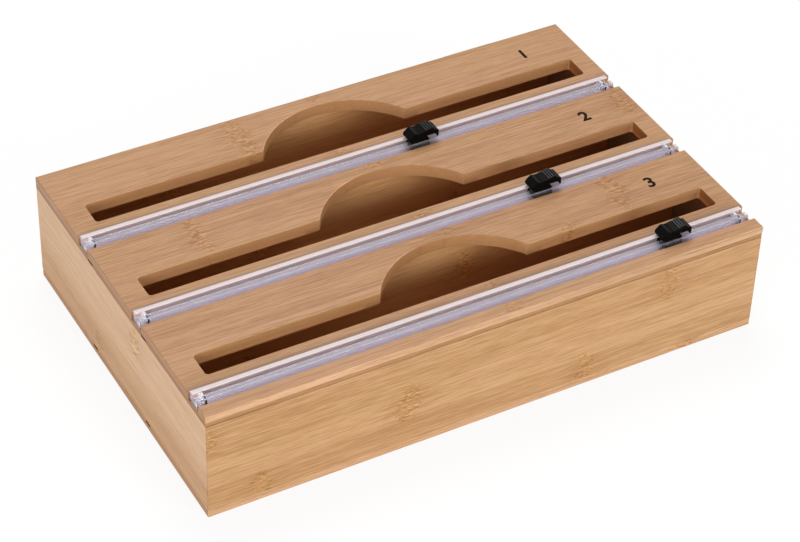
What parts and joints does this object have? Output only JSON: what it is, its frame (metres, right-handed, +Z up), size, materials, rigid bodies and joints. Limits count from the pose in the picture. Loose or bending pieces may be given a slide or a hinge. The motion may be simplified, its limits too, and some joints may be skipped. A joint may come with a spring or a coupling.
{
  "type": "kitchen wrap dispenser",
  "caption": "Bamboo box with bays for rolls of wrap under a hinged lid with long slots, thumb arches and clear rails that carry slide cutters for the film.",
  "frame": {"origin": "middle of the base board's underside, where the dispenser rests", "axes": "X along the rolls to the right, Y from the front to the back, Z up"},
  "size_m": [0.36, 0.2381, 0.0858],
  "materials": {
    "box_bamboo": "sanded, thin satin lacquer",
    "lid_bamboo": "sanded, thin satin lacquer",
    "clear_rail": "clear extruded",
    "tape": "foam tape",
    "stops": "clear moulded",
    "black_plastic": "fine moulded satin",
    "steel": "ground",
    "hinge_metal": "nickel plated, satin",
    "magnets": "nickel plated"
  },
  "bodies": {
    "box": {"base_board": "box_bamboo", "front_wall": "box_bamboo", "back_wall": "box_bamboo", "left_end": "box_bamboo", "right_end": "box_bamboo", "rear_divider": "box_bamboo", "front_divider": "box_bamboo", "box_magnets": "magnets", "left_hinge_box_leaf": "hinge_metal", "right_hinge_box_leaf": "hinge_metal", "left_hinge_pin": "steel", "right_hinge_pin": "steel", "box_leaf_screws": "hinge_metal"},
    "lid": {"lid_board": "lid_bamboo", "lid_magnets": "magnets", "left_hinge_lid_leaf": "hinge_metal", "right_hinge_lid_leaf": "hinge_metal", "lid_leaf_screws": "hinge_metal", "rail_1": "clear_rail", "rail_tape_1": "tape", "rail_stops_1": "stops", "rail_2": "clear_rail", "rail_tape_2": "tape", "rail_stops_2": "stops", "rail_3": "clear_rail", "rail_tape_3": "tape", "rail_stops_3": "stops"},
    "cutter_1": {"cutter_grip_1": "black_plastic", "cutter_shoe_1": "black_plastic", "cutter_blade_1": "steel"},
    "cutter_2": {"cutter_grip_2": "black_plastic", "cutter_shoe_2": "black_plastic", "cutter_blade_2": "steel"},
    "cutter_3": {"cutter_grip_3": "black_plastic", "cutter_shoe_3": "black_plastic", "cutter_blade_3": "steel"}
  },
  "joints": [
    {"name": "lid_hinge", "type": "hinge", "parent": "box", "child": "lid", "pos_m": [0, 0.11925, 0.0675], "axis": [-1, 0, 0], "range_deg": [0, 190]},
    {"name": "cutter_slide_1", "type": "slide", "parent": "lid", "child": "cutter_1", "axis": [1, 0, 0], "range_m": [-0.2067, 0.1242]},
    {"name": "cutter_slide_2", "type": "slide", "parent": "lid", "child": "cutter_2", "axis": [1, 0, 0], "range_m": [-0.2484, 0.0825]},
    {"name": "cutter_slide_3", "type": "slide", "parent": "lid", "child": "cutter_3", "axis": [1, 0, 0], "range_m": [-0.2917, 0.0392]}
  ]
}
